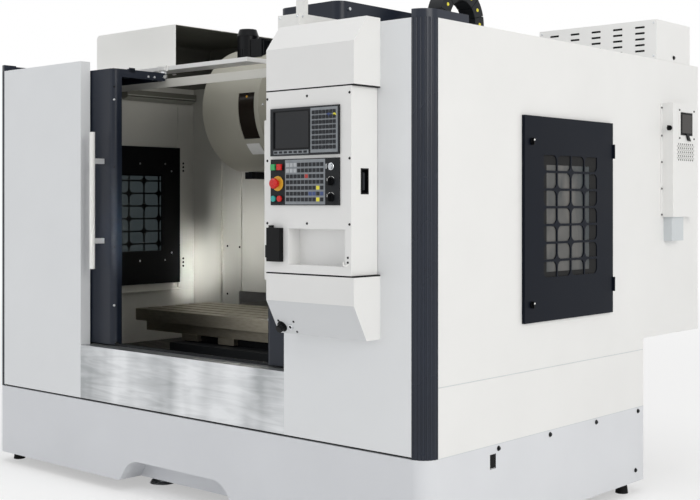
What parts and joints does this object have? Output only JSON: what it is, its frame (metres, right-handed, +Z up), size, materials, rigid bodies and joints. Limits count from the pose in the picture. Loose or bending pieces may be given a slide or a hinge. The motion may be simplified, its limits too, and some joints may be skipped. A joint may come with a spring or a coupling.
{
  "type": "machining centre",
  "caption": "Vertical machining centre with sheet metal enclosure, sliding doors, swinging console, side tool magazine, moving table and head.",
  "frame": {"origin": "centre of the footprint, on the floor", "axes": "+X to the right along the machine's width, +Y from the operator's side to the back, +Z up"},
  "size_m": [2.773, 2.2925, 2.42],
  "materials": {
    "white_paint": "semi-gloss",
    "panel_paint": "semi-gloss",
    "navy_paint": "satin",
    "base_paint": "semi-gloss",
    "cast_paint": "painted",
    "machined_iron": "machined",
    "ground_steel": "ground",
    "stainless": "swirl brushed",
    "motor_black": "satin",
    "black_plastic": "matte",
    "panel_plastic": "matte",
    "white_plastic": "gloss",
    "red_plastic": "gloss",
    "green_plastic": "gloss",
    "teal_plastic": "gloss",
    "chrome": "polished",
    "glass": "clear"
  },
  "bodies": {
    "machine": {"base_skirt": "base_paint", "bed_casting": "cast_paint", "levelling_feet": "ground_steel", "column_casting": "cast_paint", "linear_rails": "ground_steel", "drive_motors": "motor_black", "chip_tray": "stainless", "front_panels": "panel_paint", "front_apron": "stainless", "left_side_panel": "white_paint", "right_side_panel": "white_paint", "corner_columns": "navy_paint", "roof_panels": "white_paint", "magazine_hood": "white_paint", "rear_panels": "white_paint", "inner_liner": "white_paint", "electrical_cabinet": "white_paint", "power_box": "white_paint", "door_rails": "ground_steel", "left_window": "navy_paint", "magazine_cover": "white_paint", "arm_gearbox": "cast_paint", "work_lamp": "black_plastic", "console_mount": "white_paint", "signal_tower": "white_plastic"},
    "left_door": {"left_door": "navy_paint", "left_handle": "white_plastic", "left_glass": "glass"},
    "right_door": {"right_door": "navy_paint", "right_handle": "white_plastic", "right_glass": "glass"},
    "saddle": {"saddle": "cast_paint"},
    "table": {"table": "machined_iron"},
    "x_screw": {"x_screw": "ground_steel"},
    "way_cover": {"way_cover_mid": "stainless"},
    "head": {"head_casting": "cast_paint", "head_cover": "navy_paint"},
    "spindle": {"spindle": "ground_steel"},
    "cable_chain": {"drag_chain": "black_plastic"},
    "y_screw": {"y_screw": "ground_steel"},
    "z_screw": {"z_screw": "ground_steel"},
    "magazine_disc": {"magazine_disc": "ground_steel"},
    "change_pot": {"change_pot": "white_plastic"},
    "arm_shaft": {"arm_shaft": "ground_steel"},
    "exchange_arm": {"exchange_arm": "motor_black"},
    "console_box": {"console_box": "white_paint", "console_fittings": "black_plastic", "display_unit": "panel_plastic", "operator_panel": "panel_plastic"},
    "stop_mushroom": {"stop_mushroom": "red_plastic"},
    "on_button": {"on_button": "green_plastic"},
    "off_button": {"off_button": "red_plastic"},
    "start_button": {"start_button": "teal_plastic"},
    "hold_button": {"hold_button": "red_plastic"},
    "key_switch": {"key_switch": "chrome"},
    "feed_knob": {"feed_knob": "black_plastic"},
    "speed_knob": {"speed_knob": "black_plastic"},
    "side_window": {"side_window": "navy_paint"},
    "main_switch": {"main_switch": "black_plastic"},
    "cabinet_door": {"cabinet_door": "white_paint"}
  },
  "joints": [
    {"name": "left_door_slide", "type": "slide", "parent": "machine", "child": "left_door", "axis": [1, 0, 0], "range_m": [0, 0.488]},
    {"name": "right_door_slide", "type": "slide", "parent": "machine", "child": "right_door", "axis": [-1, 0, 0], "range_m": [0, 0.488]},
    {"name": "y_axis", "type": "slide", "parent": "machine", "child": "saddle", "axis": [0, 1, 0], "range_m": [0, 0.5]},
    {"name": "x_axis", "type": "slide", "parent": "saddle", "child": "table", "axis": [1, 0, 0], "range_m": [0, 0.8]},
    {"name": "z_axis", "type": "slide", "parent": "machine", "child": "head", "axis": [0, 0, -1], "range_m": [0, 0.5]},
    {"name": "way_cover_slide", "type": "slide", "parent": "machine", "child": "way_cover", "axis": [0, 1, 0], "range_m": [0, 0.25]},
    {"name": "chain_slide", "type": "slide", "parent": "machine", "child": "cable_chain", "axis": [0, 0, -1], "range_m": [0, 0.25]},
    {"name": "y_screw_turn", "type": "hinge", "parent": "machine", "child": "y_screw", "pos_m": [-0.0225, -0.9655, 0.44], "axis": [0, 1, 0], "range_deg": [0, 11251]},
    {"name": "x_screw_turn", "type": "hinge", "parent": "saddle", "child": "x_screw", "pos_m": [-0.0225, -0.2065, 0.565], "axis": [1, 0, 0], "range_deg": [0, 18001]},
    {"name": "z_screw_turn", "type": "hinge", "parent": "machine", "child": "z_screw", "pos_m": [-0.0225, 0.6345, 0], "axis": [0, 0, 1], "range_deg": [0, 11251]},
    {"name": "spindle_turn", "type": "hinge", "parent": "head", "child": "spindle", "pos_m": [-0.0225, 0.0435, 1.43], "axis": [0, 0, -1], "continuous": true},
    {"name": "magazine_turn", "type": "hinge", "parent": "machine", "child": "magazine_disc", "pos_m": [-0.5225, 0.0435, 1.745], "axis": [1, 0, 0], "continuous": true},
    {"name": "pot_tip", "type": "hinge", "parent": "magazine_disc", "child": "change_pot", "pos_m": [-0.5825, 0.0435, 1.465], "axis": [0, -1, 0], "range_deg": [0, 90]},
    {"name": "arm_drop", "type": "slide", "parent": "machine", "child": "arm_shaft", "axis": [0, 0, -1], "range_m": [0, 0.11]},
    {"name": "arm_swing", "type": "hinge", "parent": "arm_shaft", "child": "exchange_arm", "pos_m": [-0.3225, 0.0435, 1.407], "axis": [0, 0, 1], "continuous": true},
    {"name": "console_swing", "type": "hinge", "parent": "machine", "child": "console_box", "pos_m": [0.6945, -1.0945, 1.352], "axis": [0, 0, -1], "range_deg": [0, 80]},
    {"name": "stop_mushroom_press", "type": "slide", "parent": "console_box", "child": "stop_mushroom", "axis": [0, 1, 0], "range_m": [0, 0.004], "stiffness_N_per_m": 800, "springref_m": -0.001},
    {"name": "on_button_press", "type": "slide", "parent": "console_box", "child": "on_button", "axis": [0, 1, 0], "range_m": [0, 0.004], "stiffness_N_per_m": 800, "springref_m": -0.001},
    {"name": "off_button_press", "type": "slide", "parent": "console_box", "child": "off_button", "axis": [0, 1, 0], "range_m": [0, 0.004], "stiffness_N_per_m": 800, "springref_m": -0.001},
    {"name": "start_button_press", "type": "slide", "parent": "console_box", "child": "start_button", "axis": [0, 1, 0], "range_m": [0, 0.004], "stiffness_N_per_m": 800, "springref_m": -0.001},
    {"name": "hold_button_press", "type": "slide", "parent": "console_box", "child": "hold_button", "axis": [0, 1, 0], "range_m": [0, 0.004], "stiffness_N_per_m": 800, "springref_m": -0.001},
    {"name": "key_turn", "type": "hinge", "parent": "console_box", "child": "key_switch", "pos_m": [1.0155, -0.9655, 1.404], "axis": [0, 1, 0], "range_deg": [0, 90]},
    {"name": "feed_turn", "type": "hinge", "parent": "console_box", "child": "feed_knob", "pos_m": [1.0155, -0.9655, 1.35], "axis": [0, 1, 0], "range_deg": [0, 270]},
    {"name": "speed_turn", "type": "hinge", "parent": "console_box", "child": "speed_knob", "pos_m": [1.0155, -0.9655, 1.293], "axis": [0, 1, 0], "range_deg": [0, 270]},
    {"name": "side_window_swing", "type": "hinge", "parent": "machine", "child": "side_window", "pos_m": [1.3445, 0.3035, 1.2], "axis": [0, 0, 1], "range_deg": [0, 100]},
    {"name": "main_switch_turn", "type": "hinge", "parent": "machine", "child": "main_switch", "pos_m": [1.3675, 0.7695, 1.614], "axis": [0, 1, 0], "range_deg": [0, 90]},
    {"name": "cabinet_door_swing", "type": "hinge", "parent": "machine", "child": "cabinet_door", "pos_m": [1.2875, 1.1315, 1.3], "axis": [0, 0, -1], "range_deg": [0, 120]}
  ],
  "couplings": [
    {"joint": "y_screw_turn", "follows": "y_axis", "rad_per_m": 392.7},
    {"joint": "x_screw_turn", "follows": "x_axis", "rad_per_m": 392.7},
    {"joint": "z_screw_turn", "follows": "z_axis", "rad_per_m": 392.7},
    {"joint": "way_cover_slide", "follows": "y_axis", "ratio": 0.5},
    {"joint": "chain_slide", "follows": "z_axis", "ratio": 0.5}
  ]
}
